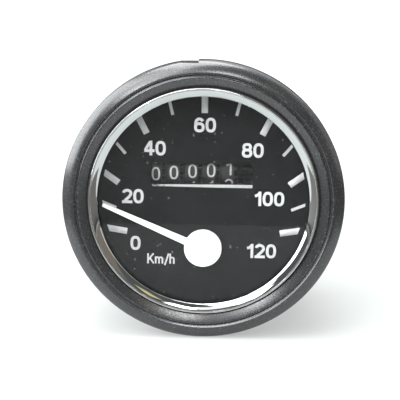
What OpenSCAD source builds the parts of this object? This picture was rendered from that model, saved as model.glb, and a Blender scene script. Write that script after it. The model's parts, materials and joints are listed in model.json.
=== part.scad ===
// Round dashboard speedometer with an eddy-current movement and a five-drum distance counter.
// The case axis is Y, the front faces -Y, +Z is up and the origin lies on the case axis
// in the plane of the bezel's rear seat. All sizes are in millimetres.

/* [Bezel] */
// Width of the shoulder outside the fine ridge
shoulder_w = 3.4; // [3:0.1:4]
// Flatness of the shoulder's curve, 1 for a plain quarter arc
shoulder_flat = 1.5; // [1:0.1:1.8]
// Width of the crowned face between the ridge and the mouth
dish_w = 1.85; // [1.6:0.05:2.2]
// Crown of that face
dish_crown = 0.1; // [0.04:0.02:0.2]
// Depth of the bezel from its rear seat to the top of its shoulder
bezel_depth = 6.5; // [6.3:0.1:8]
// Height of the straight outer side
rim_h = 3.7; // [3:0.1:4.2]
// Radius of the rear outer corner
rim_round = 1.2; // [0.6:0.1:1.6]
// Drop of the ridge below the top of the shoulder
ridge_drop = 0.2; // [0.1:0.05:0.4]
// Width of the slope from the ridge to the floor of the groove outside it
groove_w = 0.5; // [0.4:0.05:0.8]
// Width of the groove's outer wall
groove_wall = 0.4; // [0.2:0.05:0.5]
// Depth of the groove below the ridge
groove_h = 0.3; // [0.2:0.05:0.5]
// Drop of the mouth's rim below the front of the bright ring
mouth_drop = 0.65; // [0.4:0.05:0.75]
// Width of the flat that the moulding gate left on the rim
gate_w = 3.4; // [3:0.1:4]
// Place of that flat's middle, left of the top
gate_x = 3; // [2:0.1:4]
// Depth of the flat below the rim
gate_cut = 0.45; // [0.3:0.05:0.5]

/* [Bright ring and lens] */
// Width of the bright ring's visible face
ring_w = 1.85; // [1.6:0.05:2.2]
// Width of the ring's hidden flange
flange_w = 1.85; // [1.5:0.05:2]
// Recess of the ring below the top of the bezel's shoulder
ring_recess = 0.5; // [0.3:0.1:1]
// Height of the outer bead over the lens
ring_h = 1.4; // [1.2:0.1:1.6]
// Sheet thickness of the hidden flange
ring_t = 0.5; // [0.4:0.1:0.6]
// Radius of the rolled beads
bead_r = 0.24; // [0.18:0.01:0.3]
// Thickness of the lens
lens_t = 1.2; // [0.9:0.1:1.4]
// Thickness of the lens gasket
gasket_t = 0.6; // [0.4:0.1:1]

/* [Case] */
// Outside diameter of the barrel that passes through the panel
case_d = 54.4; // [54:0.1:55]
// Wall of the barrel
case_wall = 1; // [0.8:0.1:1.2]
// Step from the barrel down to the neck inside the bezel
neck_step = 0.3; // [0.2:0.05:0.4]
// Depth of the case behind the bezel's seat
case_depth = 33; // [32:0.5:38]
// Thickness of the rear wall
rear_t = 1.2; // [1:0.1:2]
// Radius of the rear outer corner
case_round = 3; // [2:0.1:4]
// Length of the barrel's straight part behind the bezel's seat
barrel_len = 12; // [8:0.5:16]
// Taper of the barrel behind its straight part, on the radius
case_taper = 0.9; // [0.6:0.05:1.1]

/* [Dial] */
// Free depth between the lens and the dial face
dial_space = 4.55; // [4.4:0.05:6]
// Thickness of the dial
dial_t = 0.6; // [0.4:0.1:1]
// Wall of the sleeve that spaces the lens from the dial
sleeve_wall = 1.2; // [1:0.1:1.25]
// Distance of the pointer's pivot below the case axis
pivot_drop = 10.7; // [10.4:0.1:11]
// Height of the counter window's centre above the case axis
window_rise = 5.05; // [4.9:0.05:5.4]
// Sideways place of the window's centre
window_x = -0.45; // [-0.6:0.05:-0.3]
// Width of the window
window_w = 21.9; // [21:0.1:22.4]
// Height of the window
window_h = 4.5; // [4:0.1:5]
// Sideways distance of each dial screw from the case axis
pillar_x = 13.8; // [13.6:0.1:14.4]
// Height of the dial screws above the pivot
pillar_rise = 3; // [2.4:0.1:3.4]
// Radius of a dial screw's head
dial_head_r = 0.95; // [0.8:0.05:1.2]
// Radius of a dial screw's shank
dial_screw_r = 0.7; // [0.6:0.05:0.8]

/* [Pointer and drag cup] */
// Radius of the pointer's disc
disc_r = 4.05; // [3.6:0.05:4.4]
// Thickness of the disc
disc_t = 1.3; // [1:0.1:1.5]
// Gap between the disc and the lens
disc_gap = 0.35; // [0.3:0.05:0.6]
// Reach of the needle from the pivot
needle_reach = 23.6; // [22:0.1:23.7]
// Width of the needle at the disc
needle_w = 1.56; // [1.4:0.02:2]
// Width of the needle at its tip
needle_tip_w = 0.74; // [0.6:0.02:1]
// Distance of the needle's straight edge from the line through the pivot
needle_side = 0.6; // [0.3:0.05:0.7]
// Thickness of the needle
needle_t = 0.7; // [0.5:0.1:0.9]
// Angle of the needle at rest, left of straight up
needle_rest = 67.5; // [60:0.5:81]
// Radius of the pointer staff
staff_r = 0.6; // [0.5:0.05:0.7]
// Radius of the magnet
magnet_r = 8.6; // [8.2:0.1:8.8]
// Thickness of the magnet
magnet_t = 4.5; // [4:0.1:5]
// Air gap on each side of the drag cup's wall
cup_gap = 0.5; // [0.4:0.05:0.6]
// Thickness of the drag cup
cup_t = 0.45; // [0.3:0.05:0.6]
// Wall of the flux cup
flux_t = 1; // [0.8:0.1:1.2]
// Turns of the hairspring
spring_turns = 5; // [4:1:5]
// Spacing of the hairspring's turns
spring_pitch = 0.7; // [0.65:0.01:0.8]
// Thickness of the hairspring's strip
spring_t = 0.2; // [0.12:0.01:0.22]
// Height of the hairspring's strip
spring_h = 0.6; // [0.4:0.05:0.8]

/* [Drive] */
// Radius of the spindle where the magnet and the worm sit
spindle_r = 1.3; // [1.2:0.05:1.4]
// Radius of the spindle's journal
journal_r = 2.6; // [2.5:0.05:2.7]
// Side of the square socket for the cable's end
socket_w = 2.7; // [2.5:0.05:2.8]
// Depth of the square socket
socket_depth = 5.4; // [5:0.1:5.6]
// Outside radius of the cable nipple's thread
thread_r = 5; // [4.9:0.05:5.2]
// Length of the nipple behind the case
nipple_len = 11; // [10:0.5:14]
// Depth of the open seat at the nipple's end
seat_depth = 5.4; // [4:0.1:6]
// Bore radius of that seat
seat_r = 3.7; // [3.6:0.05:3.9]
// Step from that seat down to the bush's bore
seat_step = 0.3; // [0.2:0.05:0.35]
// Radius of the nipple's flange
nipple_flange_r = 7.5; // [7:0.1:8.5]
// Thickness of the nipple's flange
nipple_flange_t = 1.4; // [1:0.1:2]
// Thread pitch of the worms on the spindle and the cross shaft
worm_pitch = 1; // [0.98:0.01:1.02]
// Teeth of the cross wheel and of the lay wheel
wheel_teeth = 20; // [20:1:20]
// Teeth of the counter's drive gear
gear_teeth = 25; // [25:1:25]
// Face width of the two worm wheels
wheel_w = 1.6; // [1.2:0.1:1.8]
// Radius of the cross shaft and the lay shaft
shaft_r = 0.8; // [0.7:0.05:0.85]

/* [Counter] */
// Radius of the number drums
drum_r = 6.2; // [6.1:0.05:6.3]
// Spacing of the number drums
drum_pitch = 3.95; // [3.9:0.05:4]
// Width of a drum's printed band
band_w = 2.7; // [2.6:0.05:2.75]
// Width of a drum's toothed ring
toothed_w = 0.8; // [0.7:0.05:0.85]
// Width of a drum's locking disc
lock_w = 0.4; // [0.3:0.05:0.42]
// Sideways place of the first drum
drum_x0 = -10.45; // [-10.6:0.05:-10.3]
// Gap between the dial and the drums
drum_gap = 0.5; // [0.4:0.05:1]
// Radius of the drum shaft
drum_shaft_r = 1.2; // [1:0.05:1.3]
// Radius of the pinion shaft
pinion_shaft_r = 0.7; // [0.6:0.05:0.8]
// Sheet thickness of the counter's frame
cheek_t = 0.9; // [0.7:0.1:1]

/* [Mounting] */
// Radius of the mounting studs
stud_r = 2; // [1.8:0.1:2.5]
// Length of the studs behind the case
stud_len = 14; // [10:1:20]
// Sideways distance of each stud from the case axis
stud_x = 15.5; // [15:0.1:16.5]
// Height of the studs above the case axis
stud_rise = 8; // [7.6:0.1:9]
// Distance of the lamp holder's middle from the case wall
lamp_inset = 9.6; // [9.2:0.1:9.8]
// Radius of the lamp holder's body
lamp_r = 4.4; // [4:0.1:4.6]

/* [Clearances] */
// Running clearance of shafts in their bores
run_gap = 0.04; // [0.02:0.01:0.06]
// Assembly clearance of pieces that stay put
seat_gap = 0.05; // [0.02:0.01:0.08]
// Side clearance between turning pieces
side_gap = 0.3; // [0.25:0.05:0.4]
// Gap between the bright ring and the bezel's mouth
mouth_gap = 0.3; // [0.25:0.05:0.5]
// Free space round the bright ring's hidden flange
flange_gap = 0.65; // [0.4:0.05:0.9]

/* [Hidden] */
$fn = 64;

// Heights are measured from the bezel's seat towards the viewer.
case_r = case_d / 2;
case_in_r = case_r - case_wall;
neck_r = case_r - neck_step;
bezel_bore_r = neck_r + seat_gap;
seat_in_r = case_r + 2 * seat_gap;
flange_r = bezel_bore_r - flange_gap;
ring_r = flange_r - flange_w;
ring_open_r = ring_r - ring_w;
mouth_r = ring_r + mouth_gap;
edge_r = mouth_r + dish_w;
bezel_r = edge_r + shoulder_w;
lamp_rise = case_in_r - lamp_inset;
lens_r = neck_r;
h_ring = bezel_depth - ring_recess;
h_lens = h_ring - ring_h;
h_lens_back = h_lens - lens_t;
h_case_rim = h_lens_back - gasket_t;
h_dial = h_lens_back - dial_space;
h_dial_back = h_dial - dial_t;
sleeve_r = case_in_r - seat_gap;
sleeve_in_r = sleeve_r - sleeve_wall;
h_rear = -case_depth;
h_floor = h_rear + rear_t;
base_t = 1.8;
h_base = h_floor + base_t;

// Pointer stack
h_disc = h_lens_back - disc_gap;
h_disc_back = h_disc - disc_t;
hub_r = 1.7;
h_hub = h_dial + 1;
pivot_r = staff_r - 0.15;

// Bridge and its bush
spacer_len = 2.2;
h_bridge = h_dial_back - spacer_len;
bridge_t = 1.2;
h_bridge_back = h_bridge - bridge_t;
bush_r = 1.6;
bush_proud = 0.6;
h_bush_back = h_bridge_back - bush_proud;
pillar_r = 2.1;
pillar_z = pillar_rise - pivot_drop;
spacer_r = 1.9;
dial_head_t = 0.5;
dial_screw_grip = 4;

// Hairspring
collet_r = 1.4;
collet_len = 1.3;
h_collet = h_bush_back - 0.15;
h_spring = h_collet - 0.25;
spring_r0 = collet_r + seat_gap + spring_t / 2;
spring_end_r = spring_r0 + spring_pitch * spring_turns;
spring_end_a = 200;
anchor_post = 0.42;
anchor_t = 0.5;

// Worm gearing: thread proportions are shares of the pitch
add = 0.34;
ded = 0.42;
half = 0.17;
slope = tan(20);
worm1_r = spindle_r + 0.65;
worm2_r = shaft_r + 0.7;
wheel_r = wheel_teeth * worm_pitch / (2 * PI);
wheel_tip_r = wheel_r + add * worm_pitch;
worm_turns = 4;
reach1 = wheel_r + worm1_r;
reach2 = wheel_r + worm2_r;
cross_z = reach1 - pivot_drop;
lay_z = cross_z + reach2;
gear_r = window_rise - lay_z - worm2_r;
gear_pitch = 2 * PI * gear_r / gear_teeth;
gear_w = 2;
h_worm = h_base + wheel_tip_r + 0.9;

// Magnet, drag cup and flux cup
h_flux_back = h_worm + wheel_tip_r + 0.6;
h_flux = h_flux_back + flux_t;
h_magnet = h_flux + magnet_t;
cup_in_r = magnet_r + cup_gap;
cup_r = cup_in_r + cup_t;
flux_in_r = cup_r + cup_gap;
flux_r = flux_in_r + flux_t;
h_cup_back = h_magnet + 0.8;
h_cup = h_cup_back + cup_t;
cup_hub_r = 1.4;
cup_hub_len = 1.5;
h_nose = h_cup_back - 0.4;
pivot_depth = 2.4;
flux_hub_r = spindle_r + 0.45;

// Spindle bearing and nipple
h_seat = h_rear - nipple_len + seat_depth;
washer_t = 0.5;
h_collar = h_base + washer_t + run_gap;
collar_t = 0.45;
collar_r = journal_r + 0.6;
bush_bore_r = seat_r - seat_step;

// Counter
drum_z = window_rise;
h_drum = h_dial_back - drum_gap - drum_r;
drums = 5;
drum_w = band_w + toothed_w + lock_w;
ring_teeth = 20;
pinion_teeth = 8;
toothed_r = drum_r - 0.85;
module_mm = 2 * toothed_r / ring_teeth;
pinion_r = module_mm * pinion_teeth / 2;
tooth_add = 0.45;
tooth_ded = 0.55;
pinion_z = drum_z + toothed_r + pinion_r;
lock_r = toothed_r + 0.1;
gear_x = drum_x(drums - 1) + drum_w / 2 + worm2_r + add * gear_pitch + side_gap;
cheek_left = drum_x(0) - drum_w / 2 - side_gap;
cheek_right = gear_x + worm2_r + add * gear_pitch + side_gap;
h_back = h_drum - drum_r - 0.9;
back_low = flux_r - pivot_drop + 0.7;
back_high = drum_z + 5.4;
post_r = 1.9;
post_left = -9.5;
post_right = 4;
post_lift = 1.5;
posts = [[post_left, drum_z], [post_right, drum_z + post_lift]];
rivet_r = 0.9;
rivet_head_w = 0.8;
rivet_head_t = 0.45;
rivet_grip = 3;

// Bearing lugs of the cross shaft
lug_w = 1.5;
lug_left = -lug_w - 3.6;
lug_right = gear_x + wheel_tip_r + side_gap;
lug_r = 1.9;

// Rear fittings
base_r = case_in_r - case_round - 1;
screw_r = 1.2;
screw_head_r = 2.4;
screw_head_t = 1.5;
screw_len = 5;
spigot_r = stud_r - 0.4;
holder_flange_r = lamp_r + 1.7;
holder_flange_t = 2;
holder_tail = 7;
holder_nose = 4;
bulb_r = 2.5;
bulb_len = 11;
tab_w = 4.8;
tab_t = 0.8;
tab_len = 6;

function drum_x(i) = drum_x0 + i * drum_pitch;

function arc(cx, cy, rx, ry, from, to, steps) =
    [for (i = [0:steps]) let (a = from + (to - from) * i / steps) [cx + rx * cos(a), cy + ry * sin(a)]];

// Points of a quarter of a superellipse, from the side to the top
function soft_arc(cx, cy, rx, ry, power, steps) =
    [for (i = [0:steps]) let (a = 90 * i / steps) [cx + rx * pow(cos(a), power), cy + ry * pow(sin(a), power)]];

// Outline of a wheel with straight-sided teeth, one tooth along +X
function wheel_points(teeth, r, up, down, half_t) =
    [for (i = [0:teeth - 1], k = [0:3])
        let (rr = (k == 0 || k == 3) ? r - down : r + up,
            t = half_t + (r - rr) * slope,
            a = 360 * i / teeth + ((k < 2) ? -1 : 1) * t / rr * 180 / PI)
        [rr * cos(a), rr * sin(a)]];

// Cross-section of a single-start worm, with its crest along +X
function worm_points(r, pitch) =
    let (crest = (half - add * slope) * 360, foot = (half + ded * slope) * 360,
        tip = r + add * pitch, root = r - ded * pitch)
    [for (i = [0:15])
        let (a = -180 + 22.5 * i, f = (abs(a) - crest) / (foot - crest),
            rr = tip - (tip - root) * min(1, max(0, f)))
        [rr * cos(a), rr * sin(a)]];

// Drawing plane seen from the front: X to the right, Y up, Z towards the viewer
module face() {
    rotate([90, 0, 0]) children();
}

// The same plane with its origin on the pivot axis
module pivot_face() {
    face() translate([0, -pivot_drop, 0]) children();
}

// A local Z axis laid along X, through height h and level z
module across(x, h, z) {
    translate([x, -h, z]) rotate([0, 90, 0]) children();
}

module turned(points) {
    face() rotate_extrude($fn = 128) polygon(points);
}

module tube(outer, inner, from, to) {
    difference() {
        translate([0, 0, from]) cylinder(r = outer, h = to - from);
        translate([0, 0, from - 1]) cylinder(r = inner, h = to - from + 2);
    }
}

// Flat bar between two points of the drawing plane
module bar(a, b, width, from, to) {
    d = b - a;
    translate([a[0], a[1], from]) rotate(atan2(d[1], d[0])) translate([0, -width / 2, 0])
        cube([norm(d), width, to - from]);
}

module worm(r, pitch, bore, hand) {
    len = worm_turns * pitch;
    difference() {
        translate([0, 0, -len / 2])
            linear_extrude(len, twist = -hand * 360 * worm_turns, slices = 16 * worm_turns, segments = 16)
            polygon(worm_points(r, pitch));
        translate([0, 0, -len]) cylinder(r = bore, h = 2 * len);
    }
}

module worm_wheel() {
    difference() {
        translate([0, 0, -wheel_w / 2]) linear_extrude(wheel_w)
            polygon(wheel_points(wheel_teeth, wheel_r, add * worm_pitch, ded * worm_pitch,
                half * worm_pitch));
        translate([0, 0, -wheel_w]) cylinder(r = shaft_r + seat_gap / 2, h = 2 * wheel_w);
    }
}

module case() {
    hull_r = case_r - case_taper - case_round;
    in_round = max(0.5, case_round - case_wall);
    h_taper = -barrel_len;
    color("#1b1b1c") difference() {
        turned(concat([[0, h_rear]], arc(hull_r, h_rear + case_round, case_round, case_round, -90, 0, 8),
            [[case_r, h_taper], [case_r, 0], [neck_r, 0], [neck_r, h_case_rim], [case_in_r, h_case_rim],
            [case_in_r, h_taper]],
            arc(case_in_r - case_taper - in_round, h_floor + in_round, in_round, in_round, 0, -90, 6), [[0, h_floor]]));
        face() {
            translate([0, -pivot_drop, h_rear - 1]) cylinder(r = thread_r + seat_gap, h = rear_t + 2);
            translate([0, lamp_rise, h_rear - 1]) cylinder(r = lamp_r + seat_gap, h = rear_t + 2);
            for (s = [-1, 1]) {
                translate([s * stud_x, stud_rise, h_rear - 1])
                    cylinder(r = spigot_r + seat_gap, h = rear_t + 2);
                translate([s * pillar_x, pillar_z, h_rear - 1])
                    cylinder(r = screw_r + seat_gap, h = rear_t + 2);
            }
        }
    }
}

module bezel() {
    shoulder_r = edge_r + groove_w + groove_wall;
    h_side = rim_round + rim_h;
    h_mouth = h_ring - mouth_drop;
    h_lip = h_lens + ring_t;
    h_ridge = bezel_depth - ridge_drop;
    steps = 8;
    color("#2a2a2b") difference() {
        turned(concat(
            [[bezel_bore_r, seat_in_r - bezel_bore_r], [seat_in_r, 0]],
            arc(bezel_r - rim_round, rim_round, rim_round, rim_round, -90, 0, 6),
            soft_arc(shoulder_r, h_side, bezel_r - shoulder_r, bezel_depth - h_side, shoulder_flat, 12),
            [[edge_r + groove_w, h_ridge - groove_h]],
            [for (i = [0:steps]) let (t = i / steps)
                [edge_r - dish_w * t, h_ridge - (h_ridge - h_mouth) * t + 4 * dish_crown * t * (1 - t)]],
            [[mouth_r, h_lip], [bezel_bore_r, h_lip]]));
        face() translate([-gate_x - gate_w / 2, bezel_r - gate_cut, -1]) cube([gate_w, 2, h_side + 1.8]);
    }
}

module bright_ring() {
    color("#d8d8d6") turned(concat(
        [[ring_open_r, h_lens]],
        arc(ring_open_r + bead_r, h_lens + bead_r / 2, bead_r, bead_r, 180, 40, 6),
        arc(ring_r - bead_r, h_ring - bead_r, bead_r, bead_r, 130, 0, 6),
        [[ring_r, h_lens + ring_t], [flange_r, h_lens + ring_t], [flange_r, h_lens]]));
}

module lens() {
    color("#e8f0f2", 0.3) turned([[0, h_lens_back], [lens_r, h_lens_back], [lens_r, h_lens], [0, h_lens]]);
}

module lens_gasket() {
    color("#151515") turned([[sleeve_in_r, h_case_rim], [lens_r, h_case_rim], [lens_r, h_lens_back],
        [sleeve_in_r, h_lens_back]]);
}

module dial_sleeve() {
    color("#101010") turned([[sleeve_in_r, h_dial], [sleeve_r, h_dial], [sleeve_r, h_case_rim],
        [sleeve_in_r, h_case_rim]]);
}

module dial() {
    color("#161617") face() difference() {
        translate([0, 0, h_dial_back]) cylinder(r = sleeve_r, h = dial_t, $fn = 128);
        translate([window_x - window_w / 2, window_rise - window_h / 2, h_dial_back - 1])
            cube([window_w, window_h, dial_t + 2]);
        translate([0, -pivot_drop, h_dial_back - 1]) cylinder(r = hub_r, h = dial_t + 2);
        for (s = [-1, 1]) translate([s * pillar_x, pillar_z, h_dial_back - 1])
            cylinder(r = dial_screw_r + seat_gap, h = dial_t + 2);
    }
}

module dial_screws() {
    tip = h_bridge_back - dial_screw_grip;
    color("#0c0c0c") face() for (s = [-1, 1]) translate([s * pillar_x, pillar_z, 0]) {
        translate([0, 0, h_dial]) cylinder(r = dial_head_r, h = dial_head_t);
        translate([0, 0, tip]) cylinder(r = dial_screw_r, h = h_dial - tip + dial_head_t / 2);
    }
}

module dial_spacers() {
    color("#b8a468") face() for (s = [-1, 1]) translate([s * pillar_x, pillar_z, 0])
        tube(spacer_r, dial_screw_r + seat_gap, h_bridge, h_dial_back);
}

module pointer() {
    bore_depth = h_disc - 0.6 - h_hub;
    color("white") pivot_face() difference() {
        union() {
            translate([0, 0, h_disc_back]) cylinder(r = disc_r, h = disc_t);
            translate([0, 0, h_hub]) cylinder(r = hub_r, h = h_disc_back - h_hub + 0.1);
            rotate(90 + needle_rest) translate([0, 0, h_disc_back]) linear_extrude(needle_t)
                polygon([[disc_r - 1, -needle_side], [needle_reach, -needle_side],
                    [needle_reach, needle_tip_w - needle_side], [disc_r - 1, needle_w - needle_side]]);
        }
        translate([0, 0, h_hub - 1]) cylinder(r = staff_r + seat_gap / 2, h = bore_depth + 1);
    }
}

module pointer_staff() {
    color("#c9c9c9") pivot_face() {
        translate([0, 0, h_cup_back]) cylinder(r = staff_r, h = h_disc - 0.7 - h_cup_back);
        translate([0, 0, h_nose - pivot_depth + 0.2])
            cylinder(r = pivot_r, h = h_cup_back - h_nose + pivot_depth - 0.2);
    }
}

module spring_collet() {
    color("#c8a850") pivot_face() tube(collet_r, staff_r + seat_gap / 2, h_collet - collet_len, h_collet);
}

// One strip along an even spiral, from the collet out to the anchor's post
module hairspring() {
    n = 24 * spring_turns;
    start = spring_end_a - 360 * spring_turns;
    function at(i, side) = let (a = 360 * i / 24, r = spring_r0 + spring_pitch * a / 360 + side * spring_t / 2)
        [r * cos(start + a), r * sin(start + a)];
    echo(str("least gap between the hairspring's turns: ", spring_pitch - spring_t, " mm"));
    color("#b5a27a") pivot_face() translate([0, 0, h_spring - spring_h]) linear_extrude(spring_h)
        polygon(concat([for (i = [0:n]) at(i, 1)], [for (i = [n:-1:0]) at(i, -1)]));
}

// Lever clamped round the bridge's bush, with a slotted post that holds the spring's outer end
module spring_anchor() {
    h_top = h_bridge_back - seat_gap;
    color("#a9a9a4") pivot_face() difference() {
        union() {
            translate([0, 0, h_top - anchor_t]) cylinder(r = bush_r + 1, h = anchor_t);
            rotate(spring_end_a) translate([0, -0.8, h_top - anchor_t + 0.06])
                cube([spring_end_r + 1, 1.6, anchor_t - 0.12]);
            rotate(spring_end_a)
                translate([spring_end_r - anchor_post, -anchor_post, h_spring - spring_h - 0.2])
                cube([2 * anchor_post, 2 * anchor_post, h_top - h_spring + spring_h + 0.1]);
        }
        translate([0, 0, h_top - 2]) cylinder(r = bush_r + seat_gap, h = 4);
        rotate(spring_end_a) translate([spring_end_r - spring_t / 2 - 0.12, -2, h_spring - spring_h - 1])
            cube([spring_t + 0.24, 2.1, spring_h + 1.1]);
    }
}

module drag_cup() {
    h_rim = h_flux + 0.5;
    color("#cfcfcd") pivot_face() difference() {
        union() {
            translate([0, 0, h_rim]) cylinder(r = cup_r, h = h_cup - h_rim);
            translate([0, 0, h_cup - 0.1]) cylinder(r = cup_hub_r, h = cup_hub_len + 0.1);
        }
        translate([0, 0, h_rim - 1]) cylinder(r = cup_in_r, h = h_cup_back - h_rim + 1);
        translate([0, 0, h_rim]) cylinder(r = staff_r + seat_gap / 2, h = 20);
    }
}

module bridge() {
    ends = [[-pillar_x, pillar_z], [pillar_x, pillar_z]];
    pivot = [0, -pivot_drop];
    lay = [gear_x, lay_z];
    color("#bdb9ad") face() difference() {
        union() {
            for (e = ends) {
                translate([e[0], e[1], h_bridge_back]) cylinder(r = pillar_r + 0.6, h = bridge_t);
                bar(e, pivot, 4.4, h_bridge_back, h_bridge);
            }
            translate([0, -pivot_drop, h_bridge_back]) cylinder(r = bush_r + 2.4, h = bridge_t);
            bar(ends[1], lay, 2.8, h_bridge_back, h_bridge);
            translate([lay[0], lay[1], h_bridge_back]) cylinder(r = shaft_r + 0.9, h = bridge_t);
        }
        translate([0, -pivot_drop, h_bridge_back - 1]) cylinder(r = bush_r + seat_gap / 2, h = bridge_t + 2);
        translate([lay[0], lay[1], h_bridge_back - 1]) cylinder(r = shaft_r + run_gap, h = bridge_t + 2);
        for (e = ends) translate([e[0], e[1], h_bridge_back - 1])
            cylinder(r = dial_screw_r + seat_gap, h = bridge_t + 2);
    }
}

module bridge_bush() {
    color("#c8a850") pivot_face() tube(bush_r, staff_r + run_gap, h_bush_back, h_bridge + 0.5);
}

// Die-cast frame: base plate, two pillars, two counter posts and the cross shaft's bearing lugs
module movement_frame() {
    color("#9d9d9a") difference() {
        union() {
            face() {
                intersection() {
                    translate([0, 0, h_floor]) cylinder(r = base_r, h = base_t);
                    translate([-base_r, -base_r, h_floor - 1])
                        cube([2 * base_r, base_r + lamp_rise - lamp_r - 1, base_t + 2]);
                }
                for (s = [-1, 1]) translate([s * pillar_x, pillar_z, h_floor])
                    cylinder(r = pillar_r, h = h_bridge_back - h_floor);
                for (p = posts) translate([p[0], p[1], h_floor])
                    cylinder(r = post_r, h = h_back - cheek_t - h_floor);
                for (x = [lug_left, lug_right]) translate([x, cross_z - lug_r, h_floor])
                    cube([lug_w, 2 * lug_r, h_worm - h_floor]);
            }
            for (x = [lug_left, lug_right]) across(x, h_worm, cross_z) cylinder(r = lug_r, h = lug_w);
        }
        across(lug_left - 1, h_worm, cross_z)
            cylinder(r = shaft_r + run_gap, h = lug_right - lug_left + lug_w + 2);
        face() {
            translate([0, -pivot_drop, h_floor - 1]) cylinder(r = thread_r + seat_gap, h = base_t + 2);
            translate([gear_x, lay_z, h_floor - 1]) cylinder(r = shaft_r + run_gap, h = base_t + 2);
            for (s = [-1, 1]) {
                translate([s * stud_x, stud_rise, h_floor - 1])
                    cylinder(r = spigot_r + seat_gap, h = base_t + 2);
                translate([s * pillar_x, pillar_z, h_floor - 1])
                    cylinder(r = screw_r + seat_gap, h = screw_len + 0.4);
                translate([s * pillar_x, pillar_z, h_bridge_back - dial_screw_grip - 0.4])
                    cylinder(r = dial_screw_r + seat_gap, h = 5);
            }
            for (p = posts) translate([p[0], p[1], h_back - cheek_t - rivet_grip - 0.2])
                cylinder(r = rivet_r + seat_gap, h = 4);
        }
    }
}

module drive_spindle() {
    color("#8f9092") pivot_face() difference() {
        union() {
            translate([0, 0, h_collar]) cylinder(r = spindle_r, h = h_nose - h_collar);
            translate([0, 0, h_collar]) cylinder(r = collar_r, h = collar_t);
            translate([0, 0, h_seat]) cylinder(r = journal_r, h = h_collar - h_seat + collar_t / 2);
        }
        translate([0, 0, h_nose - pivot_depth]) cylinder(r = pivot_r + run_gap, h = pivot_depth + 1);
        translate([-socket_w / 2, -socket_w / 2, h_seat - 1]) cube([socket_w, socket_w, socket_depth + 1]);
    }
}

module spindle_worm() {
    color("#c0b48a") pivot_face() translate([0, 0, h_worm]) rotate(-90)
        worm(worm1_r, worm_pitch, spindle_r + seat_gap / 2, -1);
}

module magnet() {
    color("#5b5b60") pivot_face() difference() {
        translate([0, 0, h_flux]) cylinder(r = magnet_r, h = magnet_t);
        translate([0, 0, h_flux - 1]) cylinder(r = spindle_r + seat_gap / 2, h = magnet_t + 2);
        for (a = [0, 180]) rotate(a) translate([magnet_r + 1.2, 0, h_flux - 1])
            cylinder(r = 2, h = magnet_t + 2);
    }
}

module flux_cup() {
    color("#7c7d80") pivot_face() difference() {
        union() {
            translate([0, 0, h_flux_back]) cylinder(r = flux_r, h = h_magnet - h_flux_back);
            translate([0, 0, h_worm + worm_turns * worm_pitch / 2])
                cylinder(r = flux_hub_r, h = h_flux_back - h_worm - worm_turns * worm_pitch / 2 + 0.1);
        }
        translate([0, 0, h_flux]) cylinder(r = flux_in_r, h = magnet_t + 1);
        translate([0, 0, h_worm]) cylinder(r = spindle_r + seat_gap / 2, h = 20);
    }
}

module spindle_bush() {
    color("#b08a4a") pivot_face() tube(bush_bore_r - seat_gap / 2, journal_r + run_gap, h_seat, h_base);
}

module thrust_washer() {
    color("#6b4a2c") pivot_face() tube(collar_r + 0.2, journal_r + run_gap, h_base, h_base + washer_t);
}

module cable_nipple() {
    h_end = h_rear - nipple_len;
    color("#a8a8a4") pivot_face() difference() {
        union() {
            translate([0, 0, h_end]) cylinder(r = thread_r, h = h_base - h_end);
            translate([0, 0, h_rear - nipple_flange_t]) cylinder(r = nipple_flange_r, h = nipple_flange_t);
        }
        translate([0, 0, h_end - 1]) cylinder(r = bush_bore_r, h = h_base - h_end + 2);
        translate([0, 0, h_end - 1]) cylinder(r = seat_r, h = seat_depth + 1);
    }
}

module mounting_studs() {
    color("#b4b4b0") face() for (s = [-1, 1]) translate([s * stud_x, stud_rise, 0]) {
        translate([0, 0, h_rear - stud_len]) cylinder(r = stud_r, h = stud_len);
        translate([0, 0, h_rear - 0.1]) cylinder(r = spigot_r, h = h_base - h_rear + 0.1);
    }
}

module case_screws() {
    color("#b4b4b0") face() for (s = [-1, 1]) translate([s * pillar_x, pillar_z, 0]) difference() {
        union() {
            translate([0, 0, h_rear - screw_head_t]) cylinder(r = screw_head_r, h = screw_head_t);
            translate([0, 0, h_rear - 0.1]) cylinder(r = screw_r, h = rear_t + screw_len - 0.9);
        }
        translate([-screw_head_r - 1, -0.35, h_rear - screw_head_t - 1]) cube([2 * screw_head_r + 2, 0.7, 1.7]);
    }
}

module lamp_holder() {
    h_nose_end = h_floor + holder_nose;
    color("#1d1d1d") face() translate([0, lamp_rise, 0]) difference() {
        union() {
            translate([0, 0, h_rear - holder_tail]) cylinder(r = lamp_r, h = h_nose_end - h_rear + holder_tail);
            translate([0, 0, h_rear - holder_flange_t]) cylinder(r = holder_flange_r, h = holder_flange_t);
        }
        translate([0, 0, h_floor - 1]) cylinder(r = bulb_r + seat_gap, h = holder_nose + 2);
        translate([-tab_w / 2 - seat_gap, -tab_t / 2 - seat_gap, h_rear - holder_tail - 1])
            cube([tab_w + 2 * seat_gap, tab_t + 2 * seat_gap, 4]);
    }
}

module lamp_bulb() {
    h_low = h_floor - 1;
    color("#efe9d2") face() translate([0, lamp_rise, 0]) rotate_extrude()
        polygon(concat([[0, h_low], [bulb_r, h_low], [bulb_r, h_low + 6]],
            arc(0, h_low + bulb_len - 2 * bulb_r, bulb_r, 2 * bulb_r, 0, 90, 8)));
}

module lamp_terminal() {
    color("#c8a850") face() translate([-tab_w / 2, lamp_rise - tab_t / 2, h_rear - holder_tail - tab_len + 3])
        cube([tab_w, tab_t, tab_len]);
}

module cross_shaft() {
    color("#b0b0ae") across(lug_left, h_worm, cross_z) cylinder(r = shaft_r, h = lug_right - lug_left + lug_w);
}

module cross_wheel() {
    color("#d8d2bc") across(0, h_worm, cross_z) worm_wheel();
}

module cross_worm() {
    color("#c0b48a") across(gear_x, h_worm, cross_z) worm(worm2_r, worm_pitch, shaft_r + seat_gap / 2, 1);
}

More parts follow.
